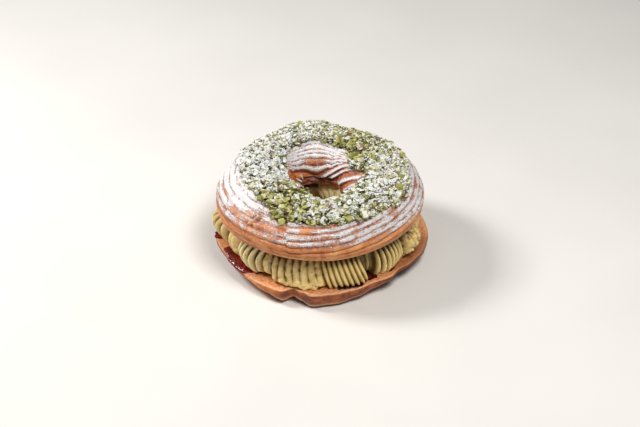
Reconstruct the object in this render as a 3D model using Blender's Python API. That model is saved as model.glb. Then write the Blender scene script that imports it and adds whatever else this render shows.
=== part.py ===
"""A pistachio paris-brest: a ring of choux pastry cut level and sandwiched again, with red jam in the lower
half, ridged cream piped in strokes between the halves, and chopped pistachios over the crown of the lid.

Metres, +Z up. The ring's axis is Z and the pastry rests on the flat underside of its lower half at z = 0.
Azimuths are in degrees: 0 is +X, 90 is the back, 270 is the front, where the cream shows best.
"""

import math
import random
from functools import partial

import bmesh
import bpy
from mathutils import Matrix

MM = 0.001
FULL_TURN = 360.0

# Levels, from the underside up. Neighbours keep a hair's gap.
GAP = 0.3 * MM
BASE_TOP = 8.5 * MM
TROUGH_FLOOR = 7.0 * MM
CREAM_BOTTOM = BASE_TOP + GAP
LID_BOTTOM = 26.5 * MM
CREAM_TOP = LID_BOTTOM - GAP
JAM_TOP = BASE_TOP - 0.05 * MM

# The blank ring that each piece is moulded from, and how far the pieces' corners are eased
RING_RADIUS, ROPE_RADIUS = 34.0 * MM, 16.0 * MM
BASE_EDGE, JAM_EDGE, CUT_EDGE, TROUGH_SLOPE = 1.0 * MM, 0.7 * MM, 0.4 * MM, 0.3 * MM

# Uneven outlines are pairs of an azimuth and a length in mm, or an angle in degrees, read smoothly from
# one pair to the next.
# Lower half of the choux ring: how far its rim reaches, with a notch near the front, and how high above
# the ground its outer wall ends, where the pastry turns under.
BASE_COLUMNS, BASE_ROWS = 72, 12
BASE_RIM = (
    (0, 55.6), (45, 53.6), (90, 55.4), (135, 53.6), (170, 53.6), (187, 53.3), (205, 51.8), (222, 52.6),
    (240, 54.0), (249, 54.8), (255, 51.0), (260, 52.4), (266, 55.4), (275, 54.2), (290, 52.6), (301, 51.4),
    (312, 52.6), (320, 51.4), (329, 53.2), (343, 55.0),
)
BASE_WALL_FOOT = (
    (0, 6.0), (45, 4.0), (90, 2.5), (135, 4.0), (180, 6.0), (205, 6.4), (225, 5.8), (240, 4.2), (250, 2.6),
    (256, 3.4), (264, 1.6), (280, 1.8), (292, 3.0), (300, 4.2), (310, 5.4), (330, 6.2),
)
TURNED_UNDER = 1.15
BASE_INNER = 14.5 * MM
BASE_HOLE_WOBBLE = 0.4 * MM

# Jam in the trough of the lower half, spilling to the rim on the left
JAM_COLUMNS, JAM_ROWS = 60, 8
TROUGH_INNER = 20.0 * MM
TROUGH_OUTER = 45.0 * MM
SPILL_TO_RIM = 1.6 * MM
SPILL_FROM, SPILL_TO, SPILL_SOFT = 184.0, 236.0, 10.0
BULGE_FROM, BULGE_TO, BULGE_SOFT = 205.0, 231.0, 6.0
JAM_BULGE = 1.4 * MM
JAM_RIPPLE = 0.2

# Upper half: a rounded crown on a short belly that turns in to the cut. The reach of its belly, the radius
# of its hole, which the rope's tail narrows at 30 degrees, and the height of its crown above the belly.
LID_COLUMNS = 72
LID_REACH = (
    (0, 52.2), (30, 52.2), (50, 50.6), (70, 49.4), (92, 53.8), (105, 53.4), (125, 49.8), (145, 49.8),
    (165, 50.8), (182, 52.4), (214, 53.8), (237, 53.4), (270, 53.0), (309, 51.6), (340, 52.4),
)
LID_HOLE = (
    (0, 13.6), (30, 11.8), (58, 15.5), (90, 16.5), (130, 17.5), (160, 16.5), (185, 14.0), (215, 11.5),
    (238, 11.0), (258, 15.5), (275, 18.0), (300, 17.0), (325, 15.0),
)
LID_CROWN = (
    (0, 15.8), (40, 15.6), (68, 14.6), (95, 16.4), (130, 14.8), (180, 15.8), (230, 15.6), (270, 14.6),
    (310, 15.2),
)
BELLY = 5.0 * MM
BELLY_ROUND = 11.0 * MM
OUTER_RIDGES, WALL_RIDGES = 6, 5
NUT_BED_ROWS = 6
OUTER_SHARE, WALL_SHARE = 0.36, 0.64
CUT_ROWS = 3
RIDGE_DEPTH = 1.1 * MM
WALL_RIDGE_DEPTH = 1.5 * MM
RIDGE_WANDER = 4.0
HOLE_SIDE, HOLE_SOFT = 118.0, 20.0

# The end of the piped rope lies over its start beside the hole, so its ridges climb across the ring there
TAIL_FROM, TAIL_TO, TAIL_SOFT = -4.0, 64.0, 8.0
TAIL_MIDDLE, TAIL_SLANT = 150.0, 0.75
TAIL_CREST = 26.0
TAIL_PITCH = 15.0
TAIL_RIDGE_DEPTH = 1.5 * MM

# Chopped pistachios in a band over the crown. Its edges are angles up the section from the outermost point.
NUTS_FROM = (
    (0, 58), (30, 52), (60, 48), (120, 48), (150, 55), (165, 62), (180, 72), (208, 74), (230, 69), (243, 51),
    (270, 56), (300, 55), (330, 50),
)
NUTS_TO = (
    (0, 121), (20, 134), (35, 130), (50, 124), (60, 118), (90, 120), (135, 120), (150, 138), (180, 150),
    (225, 150), (250, 142), (300, 140), (330, 132), (345, 122),
)
NUTS_SOFT, NUTS_MARGIN = 6.0, 3.0
NUT_BED = 1.0 * MM
NUT_LUMPS = 0.6 * MM
NUT_ROWS, NUTS_IN_ROW = 4, 28
NUT_LENGTH = 4.2 * MM
NUT_SHAPE = (1.0, 0.74, 0.6)
NUT_SIZES = 0.8, 1.1
NUT_TILT = 0.6
NUT_SCATTER = 0.3
NUT_STANDS = 0.5 * MM
NUT_SEED = 11

# Strokes of cream, in order round the ring: where each starts, how many ridges the nozzle left, how deep
# they are, how far its foot reaches from the axis and how far it bulges past its foot. A stroke ends where
# the next one starts.
STROKES = (
    dict(start=168.0, ridges=3, depth=1.5 * MM, foot=49.4 * MM, bulge=6.6 * MM),
    dict(start=197.0, ridges=2, depth=0.6 * MM, foot=47.4 * MM, bulge=2.2 * MM),
    dict(start=214.0, ridges=5, depth=2.0 * MM, foot=46.4 * MM, bulge=2.8 * MM),
    dict(start=237.0, ridges=7, depth=1.0 * MM, foot=48.8 * MM, bulge=1.8 * MM),
    dict(start=272.0, ridges=7, depth=1.6 * MM, foot=50.4 * MM, bulge=1.0 * MM),
    dict(start=297.0, ridges=1, depth=0.4 * MM, foot=43.5 * MM, bulge=0.6 * MM),
    dict(start=304.0, ridges=7, depth=1.8 * MM, foot=48.6 * MM, bulge=1.0 * MM),
    dict(start=328.0, ridges=3, depth=0.9 * MM, foot=50.2 * MM, bulge=2.6 * MM),
    dict(start=350.0, ridges=6, depth=1.6 * MM, foot=49.0 * MM, bulge=2.0 * MM),
    dict(start=374.0, ridges=6, depth=1.6 * MM, foot=49.6 * MM, bulge=1.8 * MM),
    dict(start=400.0, ridges=6, depth=1.8 * MM, foot=48.2 * MM, bulge=2.0 * MM),
    dict(start=425.0, ridges=6, depth=1.4 * MM, foot=49.8 * MM, bulge=1.6 * MM),
    dict(start=451.0, ridges=6, depth=1.7 * MM, foot=48.6 * MM, bulge=2.0 * MM),
    dict(start=477.0, ridges=6, depth=1.5 * MM, foot=49.8 * MM, bulge=1.8 * MM),
    dict(start=503.0, ridges=6, depth=1.8 * MM, foot=48.8 * MM, bulge=2.2 * MM),
)
CREAM_ROWS = 10
CREAM_INNER = 16.0 * MM
CREAM_LEAN_IN, CREAM_LEAN_POWER = 6.5 * MM, 2.2
CREAM_RISES = (0.0, 0.22, 0.5, 0.78, 1.0)
CREAM_TUCK = 0.9 * MM
CREAM_HOLE_ROUND = 2.2 * MM
CREAM_HOLE_WOBBLE = 1.0 * MM
STROKE_VALLEY = 2.0 * MM

# Colour, roughness
CRUST = ((0.55, 0.24, 0.10, 1.0), 0.6)
SUGARED_CRUST = ((0.70, 0.42, 0.26, 1.0), 0.75)
CREAM = ((0.58, 0.45, 0.18, 1.0), 0.45)
JAM = ((0.18, 0.004, 0.008, 1.0), 0.12)


def clear_scene():
    """Leaves nothing of the scene that the script starts in."""
    for obj in list(bpy.data.objects):
        bpy.data.objects.remove(obj, do_unlink=True)


def material(name, finish):
    """A Principled material of one colour."""
    colour, roughness = finish
    made = bpy.data.materials.new(name)
    made.use_nodes = True
    shader = made.node_tree.nodes["Principled BSDF"]
    shader.inputs["Base Color"].default_value = colour
    shader.inputs["Roughness"].default_value = roughness
    shader.inputs["Metallic"].default_value = 0.0
    return made


def wave(azimuth, turns, phase):
    """A sine that goes round the ring a whole number of times, from -1 to 1."""
    return math.sin(math.radians(turns * azimuth + phase))


def step(value, edge, width):
    """0 well below the edge and 1 well above it, smooth over the width."""
    share = min(1.0, max(0.0, (value - edge) / width + 0.5))
    return share * share * (3 - 2 * share)


def between(azimuth, start, end, width):
    """1 between two azimuths and 0 outside them, each end smooth over the width."""
    middle = (start + end) / 2
    gap = abs((azimuth - middle + 180) % FULL_TURN - 180)
    return 1 - step(gap, (end - start) / 2, width)


def around(azimuth, points):
    """The value at an azimuth of a closed outline given as pairs of azimuth and value, the first at 0."""
    at = azimuth % FULL_TURN
    closed = points + ((FULL_TURN, points[0][1]),)
    for (start, low), (end, high) in zip(closed, closed[1:]):
        if start <= at <= end:
            return low + (high - low) * step(at, (start + end) / 2, end - start)
    return points[0][1]


def moulded_ring(name, collection, look, columns, rows, place):
    """A torus whose grid is laid out by place(column, row), which gives azimuth, radius and height.
    Rows go up the outer side of the section, over its top, down the inner side and back underneath."""
    bpy.ops.mesh.primitive_torus_add(
        major_segments=columns, minor_segments=rows, major_radius=RING_RADIUS, minor_radius=ROPE_RADIUS
    )
    ring = bpy.context.object
    ring.name = ring.data.name = name
    for index, vertex in enumerate(ring.data.vertices):
        azimuth, radius, height = place(*divmod(index, rows))
        turn = math.radians(azimuth)
        vertex.co = (radius * math.cos(turn), radius * math.sin(turn), height)
    ring.data.shade_smooth()
    ring.data.materials.append(look)
    for holder in list(ring.users_collection):
        holder.objects.unlink(ring)
    collection.objects.link(ring)
    return ring


def trough_rim(azimuth):
    """How far the jam's trough reaches."""
    spill = between(azimuth, SPILL_FROM, SPILL_TO, SPILL_SOFT)
    at_rim = around(azimuth, BASE_RIM) * MM - SPILL_TO_RIM
    return TROUGH_OUTER + (at_rim - TROUGH_OUTER) * spill


def base_place(column, row):
    """The lower half: a shallow pastry shell, cut level, that turns under to a flat foot."""
    azimuth = FULL_TURN * column / BASE_COLUMNS
    rim = around(azimuth, BASE_RIM) * MM
    wall_foot = around(azimuth, BASE_WALL_FOOT) * MM
    toe = rim - BASE_EDGE - TURNED_UNDER * wall_foot
    trough = trough_rim(azimuth)
    inner = BASE_INNER + BASE_HOLE_WOBBLE * wave(azimuth, 4, 60)
    section = (
        (rim, (wall_foot + BASE_TOP) / 2),
        (rim - BASE_EDGE, BASE_TOP),
        (trough, BASE_TOP),
        (trough - TROUGH_SLOPE, TROUGH_FLOOR),
        (TROUGH_INNER + TROUGH_SLOPE, TROUGH_FLOOR),
        (TROUGH_INNER, BASE_TOP),
        (inner + BASE_EDGE, BASE_TOP),
        (inner, BASE_TOP / 2),
        (inner + 2 * BASE_EDGE, 0.0),
        ((toe + inner) / 2, 0.0),
        (toe, 0.0),
        (rim - BASE_EDGE, wall_foot),
    )
    radius, height = section[row]
    return azimuth, radius, height


def jam_place(column, row):
    """The jam: it fills the trough level, and stands proud where it spills out past the cream."""
    azimuth = FULL_TURN * column / JAM_COLUMNS
    reach = trough_rim(azimuth) - 2 * GAP
    ripple = 1 - JAM_RIPPLE + JAM_RIPPLE * wave(azimuth, 17, 0)
    bulge = JAM_BULGE * between(azimuth, BULGE_FROM, BULGE_TO, BULGE_SOFT) * ripple
    floor = TROUGH_FLOOR + GAP
    section = (
        (reach, (JAM_TOP + floor + bulge) / 2),
        (reach - JAM_EDGE, JAM_TOP + bulge),
        (reach - 2 * JAM_EDGE, JAM_TOP + bulge),
        (reach - 3 * JAM_EDGE, JAM_TOP),
        ((reach + TROUGH_INNER) / 2, JAM_TOP),
        (TROUGH_INNER + 2 * GAP, JAM_TOP),
        (TROUGH_INNER + 3 * GAP, floor),
        (reach - JAM_EDGE, floor),
    )
    radius, height = section[row]
    return azimuth, radius, height


def cream_columns():
    """Every column of the cream as its azimuth, its stroke and its place in it, two columns to a ridge:
    the furrow first and then the crest."""
    columns = []
    for number, stroke in enumerate(STROKES):
        following = STROKES[(number + 1) % len(STROKES)]
        span = (following["start"] - stroke["start"]) % FULL_TURN
        steps = 2 * stroke["ridges"]
        for index in range(steps):
            share = index / steps
            columns.append((stroke["start"] + span * share, stroke, share, index % 2))
    return columns


def cream_place(columns, column, row):
    """The cream: strokes that lean in under the lid, each rounded from end to end and ridged across."""
    azimuth, stroke, share, crest = columns[column]
    swell = math.sin(math.pi * share) ** 0.5 if share > 0 else 0.0
    ridge = stroke["depth"] * (0.5 if crest else -0.5)
    foot = stroke["foot"] - STROKE_VALLEY * (1 - swell) + ridge
    inner = CREAM_INNER + CREAM_HOLE_WOBBLE * wave(azimuth, 5, 20) - CREAM_TUCK * swell
    if row < len(CREAM_RISES):
        rise = CREAM_RISES[row]
        tuck = CREAM_TUCK if row == 0 else 0.0
        swelling = stroke["bulge"] * swell * math.sin(math.pi * rise)
        radius = foot - tuck + swelling - CREAM_LEAN_IN * rise**CREAM_LEAN_POWER - 0.5 * ridge * rise
        return azimuth, radius, CREAM_BOTTOM + (CREAM_TOP - CREAM_BOTTOM) * rise
    section = (
        ((foot + inner) / 2 - CREAM_LEAN_IN / 2, CREAM_TOP),
        (inner + CREAM_HOLE_ROUND, CREAM_TOP),
        (inner, (CREAM_TOP + CREAM_BOTTOM) / 2),
        (inner + CREAM_TUCK, CREAM_BOTTOM),
        ((foot + inner) / 2, CREAM_BOTTOM),
    )
    radius, height = section[row - len(CREAM_RISES)]
    return azimuth, radius, height


def lid_surface(azimuth, angle, relief=0.0):
    """A point of the lid's crown or belly, at an angle up the section from its outermost point."""
    outer = around(azimuth, LID_REACH) * MM
    inner = around(azimuth, LID_HOLE) * MM
    turn = math.radians(angle)
    up = around(azimuth, LID_CROWN) * MM if math.sin(turn) > 0 else BELLY_ROUND
    radius = (outer + inner) / 2 + ((outer - inner) / 2 + relief) * math.cos(turn)
    return radius, LID_BOTTOM + BELLY + (up + relief) * math.sin(turn)


def nut_cover(azimuth, angle):
    """1 in the band of nuts and 0 outside it."""
    past_far_edge = step(angle, around(azimuth, NUTS_TO), NUTS_SOFT)
    return step(angle, around(azimuth, NUTS_FROM), NUTS_SOFT) * (1 - past_far_edge)


def tail_cover(azimuth, angle):
    """1 on the rope's tail, and how far across its ridges the place lies, in degrees. The ridges slant."""
    across = (azimuth - TAIL_SLANT * (angle - TAIL_MIDDLE) + 180.0) % FULL_TURN - 180.0
    on_tail = step(across, TAIL_FROM, TAIL_SOFT) * (1 - step(across, TAIL_TO, TAIL_SOFT))
    return on_tail * step(angle, HOLE_SIDE, HOLE_SOFT), across


def lid_relief(azimuth, angle, crest, lump):
    """How far the surface stands out: ridges along the rope, ridges across its tail, or the bed of nuts."""
    nuts = nut_cover(azimuth, angle)
    tail, across = tail_cover(azimuth, angle)
    depth = RIDGE_DEPTH + (WALL_RIDGE_DEPTH - RIDGE_DEPTH) * step(angle, HOLE_SIDE, HOLE_SOFT)
    along = depth * (crest - 0.5) * (1 - tail) * (1 - nuts)
    folds = TAIL_RIDGE_DEPTH / 2 * math.cos(math.tau * (across - TAIL_CREST) / TAIL_PITCH)
    return along + folds * tail * (1 - nuts) + (NUT_BED + NUT_LUMPS * lump) * nuts


def lid_rows():
    """The rows of the lid's section as shares of the way from the outer cut edge to the hole's cut edge,
    closer together where ridges show than under the nuts."""
    outer, wall, bed = 2 * OUTER_RIDGES, 2 * WALL_RIDGES, NUT_BED_ROWS
    shares = [OUTER_SHARE * index / outer for index in range(outer)]
    shares += [OUTER_SHARE + (WALL_SHARE - OUTER_SHARE) * index / bed for index in range(bed)]
    shares += [WALL_SHARE + (1 - WALL_SHARE) * index / wall for index in range(wall + 1)]
    return shares


def lid_place(shares, lumps, column, row):
    """The upper half: the crown's rows follow the ridges and furrows, and the last rows lie in the cut."""
    azimuth = FULL_TURN * column / LID_COLUMNS
    under = math.degrees(math.asin(BELLY / BELLY_ROUND))
    last = len(shares) - 1
    if row <= last:
        share = shares[row]
        wander = RIDGE_WANDER * math.sin(math.pi * share) * wave(azimuth, 3, 50)
        angle = -under + (180.0 + 2 * under) * share + wander
        on_cut = row in (0, last)
        relief = 0.0 if on_cut else lid_relief(azimuth, angle, row % 2, lumps[column][row])
        radius, height = lid_surface(azimuth, angle, relief)
        return azimuth, radius, LID_BOTTOM if on_cut else max(height, LID_BOTTOM + CUT_EDGE)
    inner, _ = lid_surface(azimuth, 180.0 + under)
    outer, _ = lid_surface(azimuth, -under)
    share = (row - last) / (CUT_ROWS + 1)
    return azimuth, inner + (outer - inner) * share, LID_BOTTOM


def moulded_lid(collection, look):
    """The upper half, with lumps of a nut's size drawn for its nut bed."""
    draw = random.Random(NUT_SEED)
    shares = lid_rows()
    lumps = [[draw.uniform(-1.0, 1.0) for _ in shares] for _ in range(LID_COLUMNS)]
    rows = len(shares) + CUT_ROWS
    place = partial(lid_place, shares, lumps)
    return moulded_ring("choux_lid", collection, look, LID_COLUMNS, rows, place)


def chopped_nut(name, collection, azimuth, angle, draw):
    """One chopped piece of pistachio, half sunk in the lid."""
    mesh = bpy.data.meshes.new(name)
    shape = bmesh.new()
    bmesh.ops.create_icosphere(shape, subdivisions=1, radius=NUT_LENGTH / 2 * draw.uniform(*NUT_SIZES))
    tilted = Matrix.Rotation(draw.uniform(-NUT_TILT, NUT_TILT), 4, "X")
    turned = Matrix.Rotation(draw.uniform(0, math.tau), 4, "Z") @ tilted
    radius, height = lid_surface(azimuth, angle, NUT_BED - NUT_LUMPS + NUT_STANDS)
    turn = math.radians(azimuth)
    place = Matrix.Translation((radius * math.cos(turn), radius * math.sin(turn), height))
    bmesh.ops.transform(shape, matrix=place @ turned @ Matrix.Diagonal((*NUT_SHAPE, 1.0)), verts=shape.verts)
    shape.to_mesh(mesh)
    shape.free()
    collection.objects.link(bpy.data.objects.new(name, mesh))


def chop_nuts(collection):
    """Pistachio pieces over the band, in staggered rows with each one shifted a little by a seeded draw."""
    draw = random.Random(NUT_SEED)
    for row in range(NUT_ROWS):
        for index in range(NUTS_IN_ROW):
            aside = draw.uniform(-NUT_SCATTER, NUT_SCATTER)
            azimuth = FULL_TURN * (index + 0.5 * (row % 2) + aside) / NUTS_IN_ROW
            share = (row + 0.5 + draw.uniform(-NUT_SCATTER, NUT_SCATTER)) / NUT_ROWS
            near, far = around(azimuth, NUTS_FROM) + NUTS_MARGIN, around(azimuth, NUTS_TO) - NUTS_MARGIN
            angle = near + (far - near) * share
            chopped_nut(f"nut_{row}_{index}", collection, azimuth, angle, draw)


def fuse(body, collection):
    """Joins a collection's objects to the body, then removes them."""
    join = body.modifiers.new("fused", "BOOLEAN")
    join.operation = "UNION"
    join.solver = "MANIFOLD"
    join.operand_type = "COLLECTION"
    join.collection = collection
    bpy.context.view_layer.objects.active = body
    bpy.ops.object.modifier_apply(modifier=join.name)
    for obj in list(collection.objects):
        bpy.data.objects.remove(obj, do_unlink=True)
    bpy.data.collections.remove(collection)


def main():
    clear_scene()
    pastry = bpy.data.collections.new("pistachio_paris_brest")
    nuts = bpy.data.collections.new("chopped_nuts")
    bpy.context.scene.collection.children.link(pastry)
    bpy.context.scene.collection.children.link(nuts)
    crust = material("baked_crust", CRUST)
    moulded_ring("choux_base", pastry, crust, BASE_COLUMNS, BASE_ROWS, base_place)
    moulded_ring("jam", pastry, material("red_jam", JAM), JAM_COLUMNS, JAM_ROWS, jam_place)
    columns = cream_columns()
    cream = material("pistachio_cream", CREAM)
    moulded_ring("cream", pastry, cream, len(columns), CREAM_ROWS, partial(cream_place, columns))
    sugared = material("sugared_crust", SUGARED_CRUST)
    lid = moulded_lid(pastry, sugared)
    chop_nuts(nuts)
    fuse(lid, nuts)
    lid.data.set_sharp_from_angle(angle=math.radians(40))


main()
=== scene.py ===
# %% [markdown]
# # Dressing a pistachio paris-brest
#
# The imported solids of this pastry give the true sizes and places: a lower half of choux, a band of jam,
# strokes of piped cream, and a ridged lid with its nuts. They are plain, so this lesson gives every one of
# them the surface that the baker's work left: ridges, furrows, sugar, chips of nut and wet jam.
#
# We load the solids first and keep their box, because nothing that we make may reach outside it.

import math
import random

import bpy
import numpy as np
from mathutils import Matrix, Vector, noise


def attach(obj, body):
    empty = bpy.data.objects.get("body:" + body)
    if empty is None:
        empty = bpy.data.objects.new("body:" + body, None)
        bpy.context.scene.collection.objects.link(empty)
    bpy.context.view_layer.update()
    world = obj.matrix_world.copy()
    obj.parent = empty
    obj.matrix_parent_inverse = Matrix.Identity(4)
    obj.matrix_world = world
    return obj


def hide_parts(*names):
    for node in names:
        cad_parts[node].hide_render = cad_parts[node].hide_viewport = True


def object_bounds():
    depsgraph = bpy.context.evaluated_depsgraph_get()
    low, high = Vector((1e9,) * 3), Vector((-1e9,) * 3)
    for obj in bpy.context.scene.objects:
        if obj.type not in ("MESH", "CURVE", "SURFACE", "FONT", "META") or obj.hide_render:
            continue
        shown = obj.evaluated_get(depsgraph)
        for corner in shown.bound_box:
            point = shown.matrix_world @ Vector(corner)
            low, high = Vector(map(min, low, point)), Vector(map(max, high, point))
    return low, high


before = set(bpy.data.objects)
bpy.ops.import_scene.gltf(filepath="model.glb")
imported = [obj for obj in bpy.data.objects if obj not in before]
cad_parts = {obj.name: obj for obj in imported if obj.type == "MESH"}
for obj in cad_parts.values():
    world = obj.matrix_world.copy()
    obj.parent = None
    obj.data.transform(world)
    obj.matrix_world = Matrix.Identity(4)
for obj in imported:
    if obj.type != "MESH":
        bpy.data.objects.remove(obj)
cad_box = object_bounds()
bpy.ops.object.select_all(action="DESELECT")
MM = 0.001
cad_low, cad_high = (np.array(corner) / MM for corner in cad_box)
print("solids:", sorted(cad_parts), "box in mm:", cad_low.round(2), cad_high.round(2))

# %% [markdown]
# ## The studio
#
# A photograph of food this close is taken with a longer lens from about a metre or less, looking down at
# the thing. A camera can be aimed with a constraint, but a plain turn about X is enough when it looks
# straight along +Y. The light is a soft window from behind and to the left, as the white left shoulder
# and the shaded front of the pastry show. A larger one over the front opens the shadows.

# %% Camera
TILT = math.radians(34)
DISTANCE, AIM_HEIGHT = 771 * MM, 19.6 * MM
LENS, SENSOR = 85, 36
bpy.ops.object.camera_add(
    location=(0, -DISTANCE * math.cos(TILT), AIM_HEIGHT + DISTANCE * math.sin(TILT)),
    rotation=(math.pi / 2 - TILT, 0, 0),
)
camera = bpy.context.object
camera.name = "camera"
camera.data.lens, camera.data.sensor_width = LENS, SENSOR
bpy.context.scene.camera = camera
print("camera stands at", camera.location)

# %% Lights
# name, place, aim, size, power, colour
LIGHTS = (
    ("key", (-0.5, 0.12, 0.52), (0, 0, 0.03), 0.18, 4.5, (1, 0.98, 0.96)),
    ("overhead", (0.22, -0.3, 0.74), (0, 0, 0.02), 0.3, 5.5, (1, 0.98, 0.94)),
)
for name, place, aim, size, power, colour in LIGHTS:
    bpy.ops.object.light_add(type="AREA", location=place)
    light = bpy.context.object
    light.name = name
    light.data.size, light.data.energy, light.data.color = size, power, colour
    light.rotation_euler = (Vector(aim) - Vector(place)).to_track_quat("-Z", "Y").to_euler()
world = bpy.data.worlds.new("studio")
world.use_nodes = True
sky = world.node_tree.nodes["Background"].inputs
sky["Color"].default_value = (0.93, 0.95, 1, 1)
sky["Strength"].default_value = 0.14
bpy.context.scene.world = world
bpy.context.scene.view_settings.view_transform = "Standard"
print(len(LIGHTS), "soft lights and a pale world")

# %% [markdown]
# ## A short way to write materials
#
# Each finish is a small tree of nodes: noises at the sizes seen on the real surface, ramps that turn them
# into colours, and a bump. Writing every node by hand hides the recipe, so a tiny helper adds a node and
# wires it in one line. Sizes are given in millimetres, because that is how we measured them.

# %% A helper for node trees
class Finish:
    """A material whose nodes are added and wired in one call each. Patterns lie in Object coordinates."""

    def __init__(self, name):
        self.material = bpy.data.materials.new(name)
        self.material.use_nodes = True
        self.tree = self.material.node_tree
        self.shader = self.tree.nodes["Principled BSDF"]
        self.place = self.add("ShaderNodeTexCoord").outputs["Object"]

    def add(self, kind, sockets=(), **settings):
        node = self.tree.nodes.new(kind)
        for name, value in settings.items():
            setattr(node, name, value)
        for name, value in dict(sockets).items():
            self.put(node.inputs[name], value)
        return node

    def put(self, socket, value):
        if isinstance(value, bpy.types.NodeSocket):
            self.tree.links.new(value, socket)
        else:
            socket.default_value = value

    def set(self, **values):
        """Sets the shader's sockets, named with _ for a blank."""
        for name, value in values.items():
            self.put(self.shader.inputs[name.replace("_", " ")], value)

    def noise(self, size_mm, detail=2):
        """Noise from 0 to 1 with lumps of a size in millimetres."""
        sockets = {"Vector": self.place, "Scale": 1 / (size_mm * MM), "Detail": detail}
        return self.add("ShaderNodeTexNoise", sockets).outputs[0]

    def streaks(self, long_mm, wide_mm, detail=2):
        """Noise drawn out along the ring, or up the section when it is wider than long."""
        grid = self.add("ShaderNodeAttribute", attribute_name="grid_place").outputs["Vector"]
        stretch = (1 / long_mm, 1 / long_mm, 1 / wide_mm)
        place = self.add("ShaderNodeMapping", {"Vector": grid, "Scale": stretch}).outputs[0]
        return self.add("ShaderNodeTexNoise", {"Vector": place, "Scale": 1, "Detail": detail}).outputs[0]

    def dots(self, size_mm):
        """Distance from the nearest of many points that lie a size apart, 0 at each point."""
        sockets = {"Vector": self.place, "Scale": 1 / (size_mm * MM)}
        return self.add("ShaderNodeTexVoronoi", sockets).outputs["Distance"]

    def attribute(self, name):
        return self.add("ShaderNodeAttribute", attribute_name=name).outputs["Fac"]

    def math(self, operation, first, second=0):
        return self.add("ShaderNodeMath", {0: first, 1: second}, operation=operation).outputs[0]

    def band(self, value, low, high, to_low=0, to_high=1):
        """Carries a value smoothly from one range to another and holds it at the ends."""
        sockets = {"Value": value, "From Min": low, "From Max": high, "To Min": to_low, "To Max": to_high}
        return self.add("ShaderNodeMapRange", sockets, interpolation_type="SMOOTHSTEP").outputs[0]

    def mix(self, share, first, second):
        return self.add("ShaderNodeMix", {0: share, 6: first, 7: second}, data_type="RGBA").outputs[2]

    def ramp(self, value, *stops):
        node = self.add("ShaderNodeValToRGB", {"Fac": value})
        marks = node.color_ramp.elements
        while len(marks) < len(stops):
            marks.new(0.5)
        for mark, (place, colour) in zip(marks, stops):
            mark.position = place
            mark.color = colour
        return node.outputs["Color"]

    def up(self):
        """How far the surface faces up, from -1 to 1."""
        normal = self.add("ShaderNodeNewGeometry").outputs["Normal"]
        return self.add("ShaderNodeSeparateXYZ", {0: normal}).outputs["Z"]

    def let_light_in(self, weight, radius, scale_mm):
        """Light sinks in and comes out again, by a length in mm for red, green and blue."""
        self.set(Subsurface_Weight=weight, Subsurface_Radius=radius, Subsurface_Scale=scale_mm * MM)

    def total(self, *parts):
        """The sum of pairs of a value and its weight."""
        whole = 0
        for value, weight in parts:
            whole = self.math("ADD", self.math("MULTIPLY", value, weight), whole)
        return whole

    def bump(self, *layers):
        """Bumps from pairs of a value from 0 to 1 and its depth in millimetres."""
        bump = self.add("ShaderNodeBump", {"Height": self.total(*layers), "Distance": MM})
        self.put(self.shader.inputs["Normal"], bump.outputs["Normal"])


def paint(red, green, blue):
    """A colour as a painter reads it off a screen, from 0 to 255, made linear for the shader."""
    def linear(value):
        share = value / 255
        return share / 12.92 if share <= 0.04045 else ((share + 0.055) / 1.055) ** 2.4
    return linear(red), linear(green), linear(blue), 1


print("a mid brown is", [round(part, 3) for part in paint(128, 90, 60)])

# %% [markdown]
# ## The floor
#
# The pastry stands on a plain pale sheet. One plane does it, with a breath of unevenness in its colour so
# that it doesn't look like an empty screen.

# %% Floor
FLOOR_SIZE, FLOOR_DROP = 6, 0.02 * MM
bpy.ops.mesh.primitive_plane_add(size=FLOOR_SIZE, location=(0, 0, -FLOOR_DROP))
floor = bpy.context.object
floor.name = "floor"
sheet = Finish("pale_sheet")
sheet.set(
    Base_Color=sheet.ramp(sheet.noise(90), (0.3, paint(214, 212, 208)), (0.7, paint(219, 217, 213))),
    Roughness=0.8,
)
floor.data.materials.append(sheet.material)
print("floor of", FLOOR_SIZE, "m")

# %% [markdown]
# ## Reading uneven outlines
#
# Nothing in a baked pastry is round: its rim, its hole and its crown all wander. A sculptor would push the
# clay here and there. We write the same pushes down as pairs of an azimuth and a size, and read them
# smoothly round the ring. Most are the very ones that the solids have, and a few fit the photograph
# closer. Azimuth 0 is +X, 90 the back and 270 the front. All the helpers work on whole arrays, so a
# hundred thousand points take a moment.

# %% Helpers for places round the ring
FULL_TURN = 360


def step(value, edge, width):
    """0 well below the edge and 1 well above it, smooth over the width."""
    share = np.clip((value - edge) / width + 0.5, 0, 1)
    return share * share * (3 - 2 * share)


def span(value, low, high, width):
    """1 from low to high and 0 outside, each end smooth over the width."""
    return step(value, low, width) * (1 - step(value, high, width))


def bell(distance, width):
    """1 at no distance, dying away smoothly past the width on both sides."""
    return np.exp(-((distance / width) ** 2))


def columns_round(count):
    """The azimuths of columns that stand evenly round the ring, down the first axis of an array."""
    return (np.arange(count) * FULL_TURN / count)[:, None]


def gap_between(azimuth, middle):
    """How far an azimuth lies from another, with its sign, the short way round."""
    return (azimuth - middle + 180) % FULL_TURN - 180


def between(azimuth, start, end, width):
    """1 between two azimuths and 0 outside them, each end smooth over the width."""
    away = np.abs(gap_between(azimuth, (start + end) / 2))
    return 1 - step(away, (end - start) / 2, width)


def around(azimuth, points):
    """The value at an azimuth of a closed outline given as pairs of azimuth and value, the first at 0."""
    at = np.asarray(azimuth, float) % FULL_TURN
    marks = np.array([mark for mark, _ in points] + [FULL_TURN])
    values = np.array([value for _, value in points] + [points[0][1]])
    index = np.clip(np.searchsorted(marks, at, side="right") - 1, 0, len(points) - 1)
    share = (at - marks[index]) / (marks[index + 1] - marks[index])
    return values[index] + (values[index + 1] - values[index]) * share * share * (3 - 2 * share)


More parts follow.
